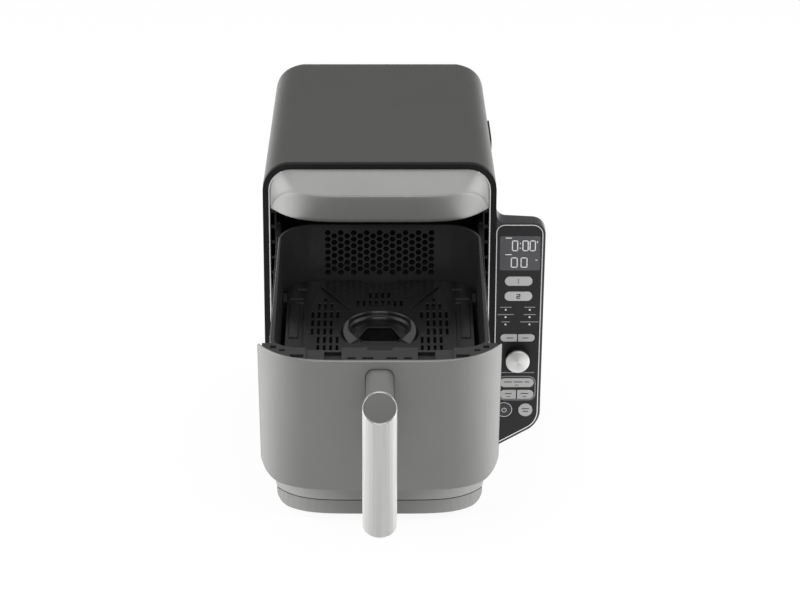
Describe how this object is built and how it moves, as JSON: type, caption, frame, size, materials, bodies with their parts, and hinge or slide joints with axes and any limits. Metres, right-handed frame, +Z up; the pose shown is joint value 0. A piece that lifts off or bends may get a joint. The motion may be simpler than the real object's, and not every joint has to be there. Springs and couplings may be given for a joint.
{
  "type": "air fryer",
  "caption": "Upright air fryer with stacked drawers, bar handles with slanted caps, crisper plates in the pans and a control pod with a dial on the right side.",
  "frame": {"origin": "on the table, under the middle of the object's box with the upper drawer pulled fully open and the lower one closed", "axes": "+Z up, -Y the way the drawers open (towards the user), +X towards the control pod on the user's right"},
  "size_m": [0.2853, 0.7763, 0.385],
  "materials": {
    "housing_paint": "satin dark grey housing",
    "rear_black": "matt black",
    "plinth_grey": "satin grey",
    "rubber_black": "matt",
    "front_grey": "satin metallic grey",
    "fascia_grey": "satin metallic grey",
    "rim_black": "satin black",
    "trim_silver": "satin bright trim",
    "frame_black": "satin black",
    "oven_steel": "aluminised sheet",
    "rail_steel": "zinc-plated sheet",
    "wool": "mineral wool",
    "heater_steel": "heat-darkened steel",
    "motor_grey": "satin",
    "probe_steel": "plain",
    "switch_black": "matt",
    "board_green": "solder mask",
    "pod_grey": "satin dark grey",
    "panel_black": "gloss black",
    "display_grey": "tinted gloss",
    "button_grey": "satin silver grey",
    "button_white": "satin near-white",
    "button_dark": "gloss dark grey",
    "fan_aluminium": "plain",
    "knob_metal": "spun",
    "screw_steel": "zinc-plated",
    "frame_dark": "matt dark grey",
    "pan_coating": "non-stick, satin black",
    "runner_steel": "satin black",
    "grip_silver": "satin silver",
    "cap_grey": "satin grey",
    "plate_coating": "non-stick, satin black",
    "bumper_silicone": "matt"
  },
  "bodies": {
    "housing": {"outer_shell": "housing_paint", "rear_cover": "rear_black", "base_tray": "plinth_grey", "feet": "rubber_black", "base_front": "front_grey", "top_fascia": "fascia_grey", "front_bezel": "rim_black", "bezel_trim": "trim_silver", "front_frame": "frame_black", "upper_oven": "oven_steel", "lower_oven": "oven_steel", "drawer_rails": "rail_steel", "insulation": "wool", "fan_guards": "oven_steel", "upper_heater": "heater_steel", "lower_heater": "heater_steel", "upper_motor": "motor_grey", "lower_motor": "motor_grey", "temperature_probes": "probe_steel", "drawer_switches": "switch_black", "power_board": "board_green", "pod_shell": "pod_grey", "control_panel": "panel_black", "pod_trim": "trim_silver", "display_window": "display_grey", "control_board": "board_green", "dial_encoder": "motor_grey", "side_vent": "rim_black", "cord_gland": "rubber_black", "rear_screws": "screw_steel"},
    "upper_fan_wheel": {"upper_fan": "fan_aluminium"},
    "lower_fan_wheel": {"lower_fan": "fan_aluminium"},
    "dial": {"dial_knob": "knob_metal"},
    "zone_one_key": {"zone_one_button": "button_grey"},
    "zone_two_key": {"zone_two_button": "button_white"},
    "temperature_key": {"temperature_button": "button_grey"},
    "time_key": {"time_button": "button_grey"},
    "both_zones_key": {"both_zones_button": "button_grey"},
    "sync_key": {"sync_button": "button_grey"},
    "match_key": {"match_button": "button_grey"},
    "power_key": {"power_button": "button_dark"},
    "start_key": {"start_button": "button_grey"},
    "upper_drawer": {"upper_front": "front_grey", "upper_inner_frame": "frame_dark", "upper_pan": "pan_coating", "upper_runners": "runner_steel", "upper_neck": "front_grey", "upper_grip": "grip_silver", "upper_cap": "cap_grey"},
    "upper_crisper_plate": {"upper_plate": "plate_coating", "upper_bumpers": "bumper_silicone"},
    "lower_drawer": {"lower_front": "front_grey", "lower_inner_frame": "frame_dark", "lower_pan": "pan_coating", "lower_runners": "runner_steel", "lower_neck": "front_grey", "lower_grip": "grip_silver", "lower_cap": "cap_grey"},
    "lower_crisper_plate": {"lower_plate": "plate_coating", "lower_bumpers": "bumper_silicone"}
  },
  "joints": [
    {"name": "upper_drawer_slide", "type": "slide", "parent": "housing", "child": "upper_drawer", "axis": [0, -1, 0], "range_m": [-0.306, 0]},
    {"name": "lower_drawer_slide", "type": "slide", "parent": "housing", "child": "lower_drawer", "axis": [0, -1, 0], "range_m": [0, 0.306]},
    {"name": "upper_plate_lift", "type": "slide", "parent": "upper_drawer", "child": "upper_crisper_plate", "axis": [0, 0, 1], "range_m": [0, 0.12]},
    {"name": "lower_plate_lift", "type": "slide", "parent": "lower_drawer", "child": "lower_crisper_plate", "axis": [0, 0, 1], "range_m": [0, 0.04]},
    {"name": "upper_fan_spin", "type": "hinge", "parent": "housing", "child": "upper_fan_wheel", "pos_m": [-0.02515, 0.34985, 0.283], "axis": [0, -1, 0], "continuous": true},
    {"name": "lower_fan_spin", "type": "hinge", "parent": "housing", "child": "lower_fan_wheel", "pos_m": [-0.02515, 0.34985, 0.145], "axis": [0, -1, 0], "continuous": true},
    {"name": "dial_turn", "type": "hinge", "parent": "housing", "child": "dial", "pos_m": [0.11615, 0.03485, 0.171], "axis": [0, -1, 0], "continuous": true},
    {"name": "zone_one_press", "type": "slide", "parent": "housing", "child": "zone_one_key", "axis": [0, 1, 0], "range_m": [0, 0.0008], "stiffness_N_per_m": 400},
    {"name": "zone_two_press", "type": "slide", "parent": "housing", "child": "zone_two_key", "axis": [0, 1, 0], "range_m": [0, 0.0008], "stiffness_N_per_m": 400},
    {"name": "temperature_press", "type": "slide", "parent": "housing", "child": "temperature_key", "axis": [0, 1, 0], "range_m": [0, 0.0008], "stiffness_N_per_m": 400},
    {"name": "time_press", "type": "slide", "parent": "housing", "child": "time_key", "axis": [0, 1, 0], "range_m": [0, 0.0008], "stiffness_N_per_m": 400},
    {"name": "both_zones_press", "type": "slide", "parent": "housing", "child": "both_zones_key", "axis": [0, 1, 0], "range_m": [0, 0.0008], "stiffness_N_per_m": 400},
    {"name": "sync_press", "type": "slide", "parent": "housing", "child": "sync_key", "axis": [0, 1, 0], "range_m": [0, 0.0008], "stiffness_N_per_m": 400},
    {"name": "match_press", "type": "slide", "parent": "housing", "child": "match_key", "axis": [0, 1, 0], "range_m": [0, 0.0008], "stiffness_N_per_m": 400},
    {"name": "power_press", "type": "slide", "parent": "housing", "child": "power_key", "axis": [0, 1, 0], "range_m": [0, 0.0008], "stiffness_N_per_m": 400},
    {"name": "start_press", "type": "slide", "parent": "housing", "child": "start_key", "axis": [0, 1, 0], "range_m": [0, 0.0008], "stiffness_N_per_m": 400}
  ]
}
